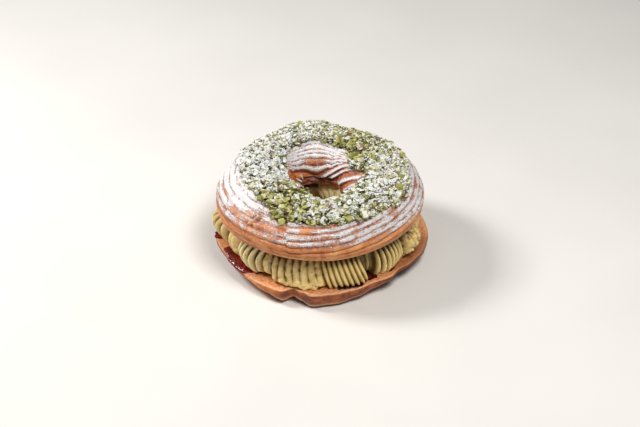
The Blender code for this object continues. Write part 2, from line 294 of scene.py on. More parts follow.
def along(value, points):
    """The value read straight from one pair to the next."""
    return np.interp(value, [mark for mark, _ in points], [level for _, level in points])


def wave(azimuth, turns, phase):
    """A sine that goes round the ring a whole number of times, from -1 to 1."""
    return np.sin(np.radians(turns * azimuth + phase))


def rough(points, size, seed=0):
    """Smooth noise from -1 to 1 at points in mm, with lumps of a size in mm."""
    values = [noise.noise(point) for point in (points / size + seed).reshape(-1, 3).tolist()]
    return np.array(values).reshape(points.shape[:-1])


def ring_points(azimuth, radius, height):
    """Points in mm from azimuth, radius and height."""
    turn = np.radians(azimuth)
    return np.stack(np.broadcast_arrays(radius * np.cos(turn), radius * np.sin(turn), height), axis=-1)


print("the outline helper reads", float(around(45, ((0, 1), (90, 3)))), "half way from 1 to 3")

# %% [markdown]
# ## A ring to start from
#
# Every big piece here is a ring with a fine skin. Each starts as a flat grid primitive that is rolled up
# both ways: its columns go round the ring, and its rows go up the outer side, over the top, down the inner
# side and back underneath. Its last column then lies on its first and its last row on its first, so one
# merge by distance welds it shut. Spinning a profile would give a perfect turned ring, which is just what
# the real one isn't, and sculpting with brushes can't be written down and repeated.

# %% Roll up a grid
BOX_MARGIN = 0.02
WELD = 0.0005 * MM
RING_MIDDLE = 46


def hold_in_box(points):
    """Keeps points in mm a hair inside the box of the solids."""
    return np.clip(points, cad_low + BOX_MARGIN * np.array([1, 1, 0]), cad_high - BOX_MARGIN)


def grid_place(points):
    """Where each point lies on the unrolled grid, in mm: round a circle, and the way up the section."""
    azimuth = np.arctan2(points[:, :1, 1], points[:, :1, 0])
    steps = np.linalg.norm(np.diff(points, axis=1), axis=2).mean(axis=0)
    way = np.concatenate([[0], np.cumsum(steps)])[None, :]
    circle = RING_MIDDLE * np.cos(azimuth), RING_MIDDLE * np.sin(azimuth)
    return np.stack(np.broadcast_arrays(*circle, way), axis=-1)


def rolled(values):
    """Puts the first column and row again after the last ones, in the order of the grid's vertices."""
    pads = ((0, 1), (0, 1), (0, 0))[: values.ndim]
    return np.pad(values, pads, mode="wrap").swapaxes(0, 1).astype(np.float32).ravel()


def bridge(start, end, rows):
    """Rows of values between the last row of one part of a section and the first row of the next."""
    share = np.linspace(0, 1, rows + 2)[None, 1:-1]
    return start[:, -1:] + (end[:, :1] - start[:, -1:]) * share


def finished(piece, name, look):
    """The piece with its name and its finish."""
    piece.name = piece.data.name = name
    piece.data.materials.append(look.material)
    print(name, "has", len(piece.data.polygons), "faces")
    return piece


def laid_ring(name, points, look, **fields):
    """A grid rolled up on an array of points in mm, columns by rows, with fields painted on its vertices."""
    columns, rows = points.shape[:2]
    bpy.ops.mesh.primitive_grid_add(x_subdivisions=columns, y_subdivisions=rows)
    ring = bpy.context.object
    ring.data.vertices.foreach_set("co", rolled(hold_in_box(points) * MM))
    for field, values in fields.items():
        layer = ring.data.attributes.new(field, "FLOAT", "POINT")
        layer.data.foreach_set("value", rolled(np.broadcast_to(values, (columns, rows))))
    layer = ring.data.attributes.new("grid_place", "FLOAT_VECTOR", "POINT")
    layer.data.foreach_set("vector", rolled(grid_place(points)))
    bpy.ops.object.mode_set(mode="EDIT")
    bpy.ops.mesh.select_all(action="SELECT")
    bpy.ops.mesh.remove_doubles(threshold=WELD)
    bpy.ops.object.mode_set(mode="OBJECT")
    bpy.ops.object.shade_smooth()
    return finished(ring, name, look)


# %% [markdown]
# ## Baked crust
#
# Choux bakes to a thin satin skin, tan where it is pale and chestnut where it is dark, with fine pores and
# wrinkles. Where the halves were cut, the crumb shows: paler, open and streaked along the knife's way.
# The same recipe dresses both halves, and only the lid has icing sugar. Painted fields steer it: sugar says
# how thickly the dust lies, and cut where the knife went. Another field darkens the crust with painted shade
# in the furrows between ridges, in the gap under the hole's wall, beside the flake, low on the left of the
# hole and on the lower half's outer wall; below zero it lightens that wall with painted light at the left
# front. It also darkens the lower half at the right and the crust below that gap, browns a bare patch on
# the hole's wall, and pales the lid's low front belly. Pale gives a paler line along the lid's cut edge and
# painted highlights along the lower half's edges and on the rims of the flake and the blister. Nuts says
# where the chips cover the crust, and there it gets painted shade. Painting the dust by height alone would
# miss how it was sieved on, heavier on the left.

# %% Crust colours
CRUST_DARK, CRUST_BROWN = paint(114, 52, 18), paint(170, 88, 34)
CRUST_GOLD, CRUST_TAN = paint(206, 126, 62), paint(222, 158, 96)
# The third colour here gives a paler cut edge and painted highlights on edges and rims.
CRUMB_DEEP, CRUMB_PALE, EDGE_PALE_AND_HIGHLIGHT = paint(172, 102, 58), paint(214, 150, 102), paint(232, 184, 144)
NUT_SHADE, NUT_DUST = paint(58, 48, 20), paint(216, 218, 220)
SUGAR_SHADE, SUGAR_WHITE = paint(213, 208, 208), paint(224, 221, 223)
CRUST_ROUGHNESS, SUGAR_ROUGHNESS = 0.5, 0.92


def crust_finish(name, dusted):
    """Baked choux, with icing sugar over it where the painted field says."""
    look = Finish(name)
    blotch, mottle, pore = look.noise(7, 3), look.noise(1.7, 3), look.noise(0.5)
    drawn, wrinkle = look.streaks(9, 0.7), look.streaks(0.9, 5, 1)
    # The last term darkens the tone where painted shade falls, on a bare brown patch and at the right of the
    # lower half; below zero it lightens the tone as painted light.
    tone = look.total((blotch, 0.55), (mottle, 0.25), (drawn, 0.2), (look.attribute("furrow"), -0.16))
    skin = look.ramp(
        tone, (0.24, CRUST_DARK), (0.38, CRUST_BROWN), (0.5, CRUST_GOLD), (0.66, CRUST_TAN)
    )
    crumb = look.ramp(look.noise(1.4, 4), (0.34, CRUMB_DEEP), (0.6, CRUMB_PALE))
    colour = look.mix(look.attribute("cut"), skin, crumb)
    # A paler line along the lid's cut edge, and painted highlights along edges and rims.
    colour = look.mix(look.attribute("pale"), colour, EDGE_PALE_AND_HIGHLIGHT)
    roughness = CRUST_ROUGHNESS
    layers = [(mottle, 0.22), (pore, 0.12), (drawn, 0.14), (wrinkle, 0.14)]
    if dusted:
        colour = look.mix(look.attribute("nuts"), colour, NUT_SHADE)
        grain, clump = look.noise(0.55), look.noise(2.2)
        lie = look.total(
            (look.attribute("sugar"), 1), (grain, 1.1), (clump, 0.7), (drawn, 0.9), (wrinkle, 0.3)
        )
        cover = look.band(lie, 1.8, 2.04)
        veil = look.band(lie, 1.5, 2, 0, 0.34)
        white = look.math("MAXIMUM", cover, veil)
        powder = look.ramp(look.noise(0.9), (0.36, SUGAR_SHADE), (0.62, SUGAR_WHITE))
        colour = look.mix(white, colour, powder)
        roughness = look.band(white, 0, 1, CRUST_ROUGHNESS, SUGAR_ROUGHNESS)
        layers += [(cover, 0.28), (grain, 0.28)]
    look.set(Base_Color=colour, Roughness=roughness)
    look.let_light_in(0.06, (2, 0.8, 0.4), 0.5)
    look.bump(*layers)
    return look


baked_crust = crust_finish("baked_crust", dusted=False)
sugared_crust = crust_finish("sugared_crust", dusted=True)
print("crust from", CRUST_DARK, "to", CRUST_TAN)

# %% [markdown]
# ## The lower half
#
# It is a shallow shell of choux, cut level, whose outer wall turns under to a flat foot, so only a low band
# of it shows at the front. Its rim has a torn notch left of the middle. The section of the shell is a
# short list of corners at each azimuth. We put many more rows between them than the solid has, and then
# roughen the wall and dimple the cut face.

# %% Lower half
BASE_TOP, TROUGH_FLOOR, BASE_EDGE, TURNED_UNDER, BASE_INNER = 8.5, 7, 1, 1.15, 14.5
TROUGH_INNER, TROUGH_OUTER, TROUGH_SLOPE, SPILL_TO_RIM = 20, 45, 0.3, 1.6
SPILL_FROM, SPILL_TO, SPILL_SOFT = 200, 228, 8
BASE_RIM = (
    (0, 55.6), (45, 53.6), (90, 55.4), (135, 53.6), (170, 53.6), (187, 53.3), (205, 51.8), (222, 52.6),
    (240, 54), (249, 54.8), (255, 51), (260, 52.4), (266, 55.4), (275, 54.2), (290, 52.6), (301, 51.4),
    (312, 52.6), (320, 51.4), (329, 53.2), (343, 55),
)
BASE_WALL_FOOT = (
    (0, 6), (45, 4), (90, 2.5), (135, 4), (180, 6), (205, 6.4), (225, 5.8), (240, 4.2), (250, 2.6),
    (256, 3.4), (264, 1.6), (280, 1.8), (292, 3), (300, 4.2), (310, 5.4), (330, 6.2),
)
BASE_COLUMNS = 600
BASE_STRETCHES = 5, 10, 5, 20, 4, 6, 6, 8, 20, 20, 10, 4


def trough_rim(azimuth):
    """How far the jam's trough reaches: nearly to the rim where the jam spills."""
    spill = between(azimuth, SPILL_FROM, SPILL_TO, SPILL_SOFT)
    return TROUGH_OUTER + (around(azimuth, BASE_RIM) - SPILL_TO_RIM - TROUGH_OUTER) * spill


def fill_in(corners, stretches):
    """Radii and heights of points between the corners of a closed section. A corner is a radius and a
    height, each a number or one for every column, and stretches says how many points each side takes."""
    corners = [np.array(np.broadcast_arrays(*corner, corners[0][0])[:2]) for corner in corners]
    rows = []
    for corner, next_corner, count in zip(corners, np.roll(corners, -1, axis=0), stretches):
        rows += [corner + (next_corner - corner) * share for share in np.arange(count) / count]
    return np.stack(rows, axis=-1)


azimuth = columns_round(BASE_COLUMNS)
base_azimuth = azimuth[:, 0]
rim = around(base_azimuth, BASE_RIM)
wall_foot = around(base_azimuth, BASE_WALL_FOOT)
toe = rim - BASE_EDGE - TURNED_UNDER * wall_foot
inner = BASE_INNER + 0.4 * wave(base_azimuth, 4, 60)
trough = trough_rim(base_azimuth)
base_corners = [
    (rim, (wall_foot + BASE_TOP) / 2),
    (rim - 0.25 * BASE_EDGE, BASE_TOP),
    (trough, BASE_TOP),
    (trough - TROUGH_SLOPE, TROUGH_FLOOR),
    (TROUGH_INNER + TROUGH_SLOPE, TROUGH_FLOOR),
    (TROUGH_INNER, BASE_TOP),
    (inner + BASE_EDGE, BASE_TOP),
    (inner, BASE_TOP / 2),
    (inner + 2 * BASE_EDGE, 0),
    ((toe + inner) / 2, 0),
    (toe, 0),
    (rim - BASE_EDGE, wall_foot),
]
base_radius, base_height = fill_in(base_corners, BASE_STRETCHES)
print("base grid", base_radius.shape)

# %% Roughen the lower half
CORNER_ROWS = np.cumsum((0,) + BASE_STRETCHES)
CUT_START, CUT_END, FOOT_CORNER = CORNER_ROWS[1], CORNER_ROWS[7], CORNER_ROWS[11]
base_row = np.arange(CORNER_ROWS[-1])[None, :]
on_top = ((base_row >= CUT_START) & (base_row < CUT_END)).astype(float)
on_foot = base_height < 0.01
spot = ring_points(azimuth, base_radius, base_height)
lumps = rough(spot, 3.2) + 0.5 * rough(spot, 1.1, 7)
torn_edge = 0.16 + 0.5 * between(azimuth, 250, 261, 4)
base_radius = base_radius + torn_edge * lumps * (1 - on_top) * (base_height < BASE_TOP - 0.3)
base_height = base_height - 0.16 * np.abs(lumps) * on_top
# Painted highlights: paler lines along the outer edge of the cut face and along the edge of the foot.
painted_highlight_lines = 0.55 * bell(base_row - CUT_START - 0.5, 1) + 0.9 * bell(base_row - FOOT_CORNER, 0.9)
painted_highlight_lines = np.clip(painted_highlight_lines, 0, 1)
# The lower half is darker at the right, from 316 to 358 degrees, on its wall and its cut face. Its wall gets
# painted light at the left front.
darker_right = between(azimuth, 316, 358, 14)
painted_light_left_front = between(azimuth, 224, 247, 8)
base_height = np.where(on_foot, 0, np.maximum(base_height, 0))
crust_base = laid_ring(
    "crust_base",
    ring_points(azimuth, base_radius, base_height),
    baked_crust,
    # The wall gets painted shade all round, lifted by the painted light at the left front.
    cut=on_top * (1 - 0.65 * darker_right),
    furrow=(1.25 + 1.6 * darker_right - 1.1 * painted_light_left_front) * (1 - on_top) + 1.7 * darker_right * on_top,
    pale=painted_highlight_lines * (1 - 0.6 * darker_right),
)

# %% [markdown]
# ## The jam
#
# Red jam fills a shallow trough in the lower half and squeezes out past the cream: a wet, lumpy spill on
# the left, and thin dark smears on the cut face at the front and the right. Jam is nearly still water in
# its shine and wholly uneven in its outline, so its ring gets a wandering edge, lumps for fruit and seeds,
# and a clear coat over a deep red. A painted field, shade, darkens the smears under the cream.

# %% Jam
JAM_COLUMNS, JAM_ROWS_ACROSS = 720, 30
# spills and smears: from, to, reach, thickness
JAM_SMEARS = (
    (179, 188, 54, 0.3), (196, 204, 51.2, 0.6), (206, 225, 52.8, 1.1), (225, 231, 48.5, 0.3),
    (279, 296, 51.2, 0.3), (298, 307, 48.8, 0.15), (313, 321, 49.2, 0.2),
)
# a drip over the rim: from, to, softness
JAM_DRIPS = (178, 189, 3), (207, 220, 4)
JAM_CLEAR, JAM_LIFT, JAM_SINKS = 0.6, 0.3, 0.05
red_jam = Finish("red_jam")
jam_red = red_jam.ramp(red_jam.noise(1.6, 3), (0.3, paint(46, 0, 4)), (0.7, paint(138, 0, 8)))
red_jam.set(
    Base_Color=red_jam.mix(red_jam.attribute("shade"), jam_red, paint(44, 8, 10)),
    Roughness=0.14,
    Coat_Weight=0.3,
    Coat_Roughness=0.06,
)
red_jam.let_light_in(0.12, (3, 0.3, 0.2), 0.6)
red_jam.bump((red_jam.noise(0.9), 0.25))

azimuth = columns_round(JAM_COLUMNS)
jam_edge = trough_rim(azimuth) - JAM_CLEAR
reach = jam_edge
proud = np.zeros_like(reach)
ragged = rough(ring_points(azimuth, 48, 0), 2.6)
for start, end, smear_reach, thickness in JAM_SMEARS:
    share = between(azimuth, start, end, 4)
    reach = np.maximum(reach, reach + (smear_reach + 0.9 * ragged - reach) * share)
    proud = np.maximum(proud, thickness * share)
drip = np.max([between(azimuth, *ends) for ends in JAM_DRIPS], axis=0)
reach = np.minimum(reach, around(azimuth, BASE_RIM) + 0.1 + 0.8 * drip)
across = np.linspace(0, 1, JAM_ROWS_ACROSS)[None, :]
jam_radius = reach + (TROUGH_INNER + JAM_CLEAR - reach) * across**1.6
past_trough = step(jam_radius, jam_edge, JAM_CLEAR)
lumpy = 0.5 + 0.5 * rough(ring_points(azimuth, jam_radius, BASE_TOP), 1.9, 3)
rounded_edge = np.sqrt(np.clip((reach - jam_radius) / 0.9, 0, 1))
bulge = proud * rounded_edge * (0.55 + 0.75 * lumpy) * step(jam_radius, 43.5, 2)
jam_top = BASE_TOP - JAM_SINKS + bulge + 0.08 * past_trough
jam_floor = TROUGH_FLOOR + JAM_LIFT
jam_under = jam_floor + (BASE_TOP - 0.12 - jam_floor) * past_trough[:, ::-1]
jam_layer = laid_ring(
    "jam_layer",
    ring_points(
        azimuth,
        np.hstack([jam_radius, jam_radius[:, ::-1]]),
        np.hstack([jam_top, np.minimum(jam_under, jam_top[:, ::-1] - 0.02)]),
    ),
    red_jam,
    shade=0.85 * between(azimuth, 268, 330, 8),
)

# %% [markdown]
# ## The cream
#
# Pistachio cream was piped from a star nozzle in strokes across the ring, one against the next. Each stroke
# has its own look: curved fins with deep grooves at the left, a broad smeared one, a fan of leaning ridges
# in the middle, sharp fins at the right and a torn blob at the far right. A curve with a star profile is
# the usual way to model piping, but it can't be pressed flat under a lid. So the ring's grid is ridged by a
# rule instead: which stroke a point is in, how far across it, and how that stroke's ridges lean and bow on
# their way up.

# %% Strokes of cream
CREAM_BOTTOM, CREAM_TOP = 8.8, 26.2
CREAM_INNER, CREAM_LEAN_IN, CREAM_LEAN_POWER, STROKE_VALLEY = 16, 6.5, 2.2, 2
CREAM_COLUMNS, CREAM_ROWS_UP, CREAM_ROWS_TOP, CREAM_HOLE_ROWS = 1080, 56, 6, 24
# start, ridges, depth, foot, bulge, sharpness of the ridges, roughness
STROKES = (
    (168, 6, 1.9, 49.4, 6.2, 1.2, 0.15),
    (197, 2, 0.9, 47.4, 2.2, 0.7, 0.2),
    (214, 5, 3.4, 47.2, 3, 1.3, 0.08),
    (237, 8, 1.3, 48.8, 1.6, 0.9, 0.55),
    (272, 8, 2.2, 50.4, 1, 1, 0.14),
    (297, 2, 0.6, 43.2, 0.2, 1, 0.2),
    (304, 7, 2.5, 48.6, 1.2, 1.4, 0.1),
    (328, 4, 1.3, 50.6, 4.4, 1, 1.15),
)
# the unseen ones at the back: start, depth, foot, bulge
STROKES += tuple((start, 6, depth, foot, bulge, 0.8, 0.2) for start, depth, foot, bulge in (
    (350, 1.6, 49, 2), (374, 1.6, 49.6, 1.8), (400, 1.8, 48.2, 2), (425, 1.4, 49.8, 1.6),
    (451, 1.7, 48.6, 2), (477, 1.5, 49.8, 1.8), (503, 1.8, 48.8, 2.2),
))
STROKE_VALUES = np.array(STROKES, float)
STROKE_STARTS = np.append(STROKE_VALUES[:, 0], STROKES[0][0] + FULL_TURN)
LEAN = (
    (0, 2), (168, 0), (180, -3), (197, -3), (208, -2.5), (234, -2.5), (242, 0), (262, 2), (273, 5),
    (292, 6.5), (296, 7), (304, 1), (328, 1), (340, 0),
)
BOW = (
    (0, 1), (180, 3), (198, 2.5), (208, 4.5), (233, 4.5), (242, 1), (270, 0.5), (296, 0.5), (304, -2.2),
    (328, -2.2), (338, 0),
)
TUCK = (
    (0, 1), (229, 0.8), (234, 4), (239, 4), (244, 0.8), (300, 1.2), (326, 1.6), (335, 7), (348, 5),
    (356, 2),
)
TUCK_HEIGHT = (
    (0, 0.15), (229, 0.15), (236, 0.22), (244, 0.15), (325, 0.15), (335, 0.46), (348, 0.4), (358, 0.2),
)
SKIRT_FROM, SKIRT_TO, SKIRT_REACH, SKIRT_HEIGHT = 243, 271, 2.2, 0.22
RIDGE_MIDDLE = 0.6  # the share of a ridge's height that stands level with the smooth surface


def stroke_at(azimuth):
    """Which stroke an azimuth is in, and how far across it, from 0 to 1."""
    at = (azimuth - STROKE_STARTS[0]) % FULL_TURN + STROKE_STARTS[0]
    index = np.clip(np.searchsorted(STROKE_STARTS, at, side="right") - 1, 0, len(STROKES) - 1)
    return index, (at - STROKE_STARTS[index]) / (STROKE_STARTS[index + 1] - STROKE_STARTS[index])


def swelling(share):
    """0 at both ends of a stroke and 1 in its middle, full and round."""
    return np.sqrt(np.maximum(np.sin(math.pi * share), 0))


def cream_skirt(azimuth, rise):
    """1 at the foot of the smeared stroke, where its ridges are wiped away."""
    height = SKIRT_HEIGHT * (1 + 0.35 * np.sin(np.radians(azimuth) * 31))
    return between(azimuth, SKIRT_FROM, SKIRT_TO, 9) * np.exp(-((rise / height) ** 4))


def cream_side(azimuth, rise):
    """Radius of the cream's outer side, how torn it is, the painted shade in its grooves, and the painted
    highlight on its tips.
    """
    shifted = azimuth + around(azimuth, LEAN) * (rise - 0.5) + around(azimuth, BOW) * np.sin(math.pi * rise)
    index, share = stroke_at(shifted)
    _, ridges, depth, foot, bulge, sharp, torn = np.moveaxis(STROKE_VALUES[index], -1, 0)
    swell = swelling(share)
    crest = np.abs(np.sin(math.pi * ridges * share)) ** sharp
    own_height = 1 + (0.16 + 0.7 * torn) * np.sin(7.3 * np.floor(ridges * share) + 2.1 * index)
    ridge = depth * (crest * own_height - RIDGE_MIDDLE)
    ridge = ridge * (1 - 0.85 * cream_skirt(azimuth, rise))
    low = np.clip(1 - rise / around(azimuth, TUCK_HEIGHT), 0, 1)
    radius = foot - STROKE_VALLEY * (1 - swell) + ridge - around(azimuth, TUCK) * low**1.5
    radius += bulge * swell * np.sin(math.pi * rise) - CREAM_LEAN_IN * rise**CREAM_LEAN_POWER
    radius -= 0.4 * ridge * rise**2
    # Painted shade: the grooves darken, more where the ridges are deeper. Painted highlight: the crests of
    # the deepest ridges are paler.
    groove = (1 - crest) * np.clip(depth / 1.5, 0.3, 1.2)
    return radius, torn, groove, 1.3 * crest**2 * np.clip(depth - 2.4, 0, 1)


azimuth = columns_round(CREAM_COLUMNS)
rise = np.linspace(0, 1, CREAM_ROWS_UP)[None, :]
side_radius, torn, groove, tip = cream_side(azimuth, rise)
side_height = np.broadcast_to(CREAM_BOTTOM + (CREAM_TOP - CREAM_BOTTOM) * rise, side_radius.shape)
spot = ring_points(azimuth, side_radius, side_height)
tear = rough(spot, 2.4)
skirt = cream_skirt(azimuth, rise)
side_radius += torn * (tear + 0.7 * rough(spot, 0.9, 5)) + 0.1 * rough(spot, 1.4, 11)
side_radius += SKIRT_REACH * skirt * (1 + 0.6 * tear + 0.5 * rough(spot, 4.5, 3))
side_radius = np.minimum(side_radius, around(azimuth, BASE_RIM) - 0.8 + 20 * rise)
# More painted shade: in the torn cracks, in the grooves at the left, in the gap near 300 degrees and on the
# fins right of it, and high up under the lid.
groove = groove * (1 - 0.7 * skirt) + np.clip(-1.2 * torn * tear, 0, 0.8)
groove *= 1 + 0.3 * between(azimuth, 212, 262, 8)
groove += 0.9 * between(azimuth, 297.5, 302.5, 2) + 0.2 * between(azimuth, 303, 327, 4)
groove += 0.9 * step(rise, 0.72, 0.3) * between(azimuth, 222, 335, 14)
print("cream reaches", round(float(side_radius.max()), 2), "mm from the axis")

# %% [markdown]
# The inner side of the cream shows through the hole. It was left by the ends of the strokes: soft, with
# shallow slanting marks, and drawn back under the lid so that a dark gap stays between them. The top and
# the bottom are flat, as the two halves press them.

# %% Close the cream's ring
CREAM_DRAWN_BACK = ((0, 2.2), (40, 3), (70, 4), (95, 5.5), (135, 5.5), (170, 2.2))
CREAM_SET_BACK = ((0, 0), (70, 0), (98, 3), (140, 3), (170, 0))
fall = np.linspace(0, 1, CREAM_HOLE_ROWS)[None, :]
_, inner_share = stroke_at(azimuth + 6 * fall)
hole_marks = np.abs(wave(azimuth + 40 * fall + 5 * wave(azimuth, 3, 0), 15, 0))
hole_radius = CREAM_INNER + wave(azimuth, 5, 20) - 0.9 * swelling(inner_share) - 0.45 * hole_marks
hole_radius += around(azimuth, CREAM_SET_BACK) + 0.9 * np.clip(2 * fall - 1, 0, 1) ** 2
hole_radius += around(azimuth, CREAM_DRAWN_BACK) * np.clip(1 - fall / 0.45, 0, 1) ** 1.6
hole_height = np.broadcast_to(CREAM_TOP + (CREAM_BOTTOM - CREAM_TOP) * fall, hole_radius.shape)
top_radius = bridge(side_radius, hole_radius, CREAM_ROWS_TOP)
bottom_radius = bridge(hole_radius, side_radius, CREAM_ROWS_TOP)
level = np.zeros(top_radius.shape)
# Painted shade on the cream in the hole: between its marks, on its left and in its top rows under the lid.
# Painted light on the rest of it.
in_shade = between(azimuth + 14 * fall, 93, 220, 10)
hole_groove = 0.3 * (1 - hole_marks) + 1.3 * np.maximum(in_shade, bell(fall, 0.1))
cream_radius = np.hstack([side_radius, top_radius, hole_radius, bottom_radius])
cream_height = np.hstack([side_height, level + CREAM_TOP, hole_height, level + CREAM_BOTTOM])
cream_groove = np.hstack([groove, level, hole_groove, level])
cream_tip = np.hstack([tip, level, 0.9 * (1 - in_shade), level])
print("cream grid", cream_radius.shape)

# %% Cream material and piece
cream = Finish("pistachio_cream")
body = cream.ramp(cream.noise(4.5), (0.3, paint(218, 187, 114)), (0.7, paint(236, 209, 142)))
# Painted shade darkens the grooves and the cream under the lid, and a painted highlight pales the tips.
deep = cream.math("POWER", cream.attribute("groove"), 1.5)
body = cream.mix(cream.band(deep, 0, 1.4), body, paint(88, 58, 16))
body = cream.mix(cream.attribute("tip"), body, paint(255, 240, 184))
speck = cream.band(cream.dots(1.7), 0.1, 0.2, 1, 0)
thin = cream.band(cream.noise(1.5, 1), 0.46, 0.52)
body = cream.mix(cream.math("MULTIPLY", speck, thin), body, paint(96, 78, 34))
fine = cream.band(cream.dots(0.7), 0.12, 0.26, 0.5, 0)
body = cream.mix(fine, body, paint(152, 130, 74))
cream.set(Base_Color=body, Roughness=0.42)
cream.let_light_in(0.18, (2.4, 1.6, 0.7), 0.7)
cream.bump((cream.noise(0.8, 3), 0.16), (speck, 0.12), (cream.streaks(0.5, 6), 0.16))
piped_cream = laid_ring(
    "piped_cream", ring_points(azimuth, cream_radius, cream_height), cream,
    groove=cream_groove, tip=cream_tip,
)

# %% [markdown]
# ## The lid
#
# The upper half was piped as one thick rope with a ridged nozzle, so ridges run along the ring. They climb
# slowly from the cut edge to the crown, start afresh at a seam left of the front, and are squeezed together
# on the wall of the hole. The end of the rope lies over its start at the right of the hole, and there the
# ridges fold across. The lid's surface is a point of an arch at an azimuth and an angle up the section,
# pushed out by its relief, so we only need the relief.

# %% Outlines of the lid
LID_BOTTOM, BELLY, BELLY_ROUND = 26.5, 5, 11
LID_REACH = (
    (0, 52.2), (30, 52.2), (50, 50.6), (70, 49.4), (92, 53.8), (105, 53.4), (125, 49.8), (145, 49.8),
    (165, 50.8), (182, 52.4), (214, 53.8), (237, 53.4), (270, 53), (309, 51.6), (340, 52.4),
)
LID_HOLE = (
    (0, 13.6), (30, 11.8), (58, 15.5), (90, 16.5), (130, 17.5), (160, 16.5), (185, 14), (215, 10.8),
    (238, 9.8), (258, 15.5), (275, 19.8), (300, 18.4), (325, 15.4),
)
LID_CROWN = (
    (0, 15.8), (40, 15.6), (68, 14.6), (95, 16.4), (130, 14.8), (180, 15.8), (230, 15.4), (270, 13.3),
    (310, 14.4),
)
NUTS_FROM = (
    (0, 58), (30, 52), (60, 48), (120, 48), (150, 55), (165, 62), (180, 72), (208, 74), (230, 69),
    (243, 52), (270, 59), (300, 57), (330, 51),
)
NUTS_TO = (
    (0, 121), (20, 134), (35, 130), (50, 122), (60, 114), (90, 113), (128, 115), (150, 136), (180, 150),
    (225, 150), (250, 142), (300, 140), (330, 132), (345, 122),
)
UNDER = math.degrees(math.asin(BELLY / BELLY_ROUND))


def lid_surface(azimuth, angle, relief=0):
    """Radius and height of the lid's arch at an angle up the section from its outermost point."""
    outer, hole = around(azimuth, LID_REACH), around(azimuth, LID_HOLE)
    turn = np.radians(angle)
    up = np.where(np.sin(turn) > 0, around(azimuth, LID_CROWN), BELLY_ROUND)
    radius = (outer + hole) / 2 + ((outer - hole) / 2 + relief) * np.cos(turn)
    return radius, LID_BOTTOM + BELLY + (up + relief) * np.sin(turn)


def nut_cover(azimuth, angle):
    """1 in the band of nuts and 0 outside it."""
    return span(angle, around(azimuth, NUTS_FROM), around(azimuth, NUTS_TO), 5)


print("the crown at the back is", np.round(lid_surface(90, 90), 2))

# %% Ridges along the rope
SEAM, SEAM_SLANT = 251.3, 0.07
OUTER_CRESTS = (
    (0, 4.4), (14, 9), (40, 18), (60, 25), (90, 33), (150, 36), (250, 40), (330, 44.5), (360, 45.9),
)
OUTER_PITCH = ((0, 12), (90, 12), (200, 13), (360, 13))
WALL_MIDDLE = 127
WALL_BOW = (
    (0, 0.25), (24, 0.22), (37, 0.28), (59, 0.5), (73, 0.76), (95, 1), (126, 0.75), (150, 0.25), (172, 0.3),
    (200, 0.8), (270, 1), (330, 0.8),
)
WALL_CRESTS = -36, -24, -12, 0, 7.5, 15, 26, 40.5, 64, 92
RIDGES_FROM = ((0, 2), (150, 4), (185, 13), (205, 12), (225, 12), (248, 6), (253, -4), (300, -6), (330, -2))


def outer_ridges(azimuth, angle, wander):
    """1 on the crests of the outer ridges and 0 in their furrows. Wander shifts them, in ridges."""
    run = (azimuth - SEAM + SEAM_SLANT * (angle - 35)) % FULL_TURN
    turns = (angle - along(run, OUTER_CRESTS)) / along(run, OUTER_PITCH) + wander
    return np.abs(np.cos(math.pi * turns)) ** 0.5


def wall_place(azimuth, angle):
    """How far down the hole's wall a point lies, in degrees where the wall's ridges are widest apart."""
    return (angle - WALL_MIDDLE) / around(azimuth, WALL_BOW)


def wall_ridges(azimuth, angle, wander):
    """1 on the crests of the ridges on the hole's wall and 0 in their furrows."""
    turns = np.interp(wall_place(azimuth, angle), WALL_CRESTS, np.arange(len(WALL_CRESTS)))
    return np.abs(np.cos(math.pi * (turns + 0.25 * wander))) ** 0.4


# %% Folds of the rope's tail
# the azimuth of each fold's crest at section angles that rise down the wall, the rearmost fold first
FOLDS = (
    ((110, 2), (136, 31.5), (158, 56.5), (176, 76), (207, 110)),
    ((110, -5), (139, 21), (154, 39), (180, 68), (207, 98)),
    ((100, -36), (115, -22.5), (136, -11), (159, 12), (194, 59), (207, 76)),
    ((100, -40), (119, -33), (131, -30), (159, -10.5), (188, 18), (207, 38)),
)
FOLD_DEPTH = 0.58


def tail_fold(azimuth, angle):
    """How much of the tail's folds shows, their height from -1 to 1, and 1 on their white crests."""
    here = gap_between(azimuth, 20) + 20
    crests = [along(angle, fold) for fold in FOLDS]
    height = np.full(np.shape(angle), -0.2)
    white = np.zeros(np.shape(angle))
    for upper, lower in zip(crests[:-1], crests[1:]):
        share = np.clip((here - lower) / np.maximum(upper - lower, 1), 0, 1)
        climb = along(share, ((0, 1), (0.4, 0), (0.75, -0.8), (0.88, -0.8), (1, 1)))
        height = np.where((here >= lower) & (here < upper), climb, height)
    behind = np.clip((here - crests[0]) / 14, 0, 1)
    height = np.where(here >= crests[0], 1 - 1.2 * behind, height)
    for crest_line, width in zip(crests, (6, 5.5, 9, 6)):
        white = np.maximum(white, bell(here - crest_line - 0.6 * width, width))
    shown = step(here, crests[-1] - 2, 5) * (1 - step(here, crests[0] + 12, 8))
    shown = shown * step(angle, 116, 12) * (1 - step(angle, 190, 14) * step(here, 34, 20))
    return shown, height, white * (1 - step(angle, 184, 16))


print("the folds are", FOLD_DEPTH * 2, "mm deep")

# %% [markdown]
# Now the relief is put together. The ridges fade on the smooth lower belly, the seam is a groove with a
# shoulder beside it, a blister and a lifted flake mark the left front, and a lumpy bed lies under the nuts.

# %% Relief of the lid
LID_COLUMNS, LID_ROWS, LID_CUT_ROWS = 480, 190, 14
BELLY_RADIUS, WALL_RADIUS, ARCH_RADIUS = 47, 18, 15.5
RIDGE_DEPTH, WALL_RIDGE_DEPTH, BOLD_RIDGE_ADDS, HOLLOW_DEPTH = 1.3, 0.9, 0.6, 1.2
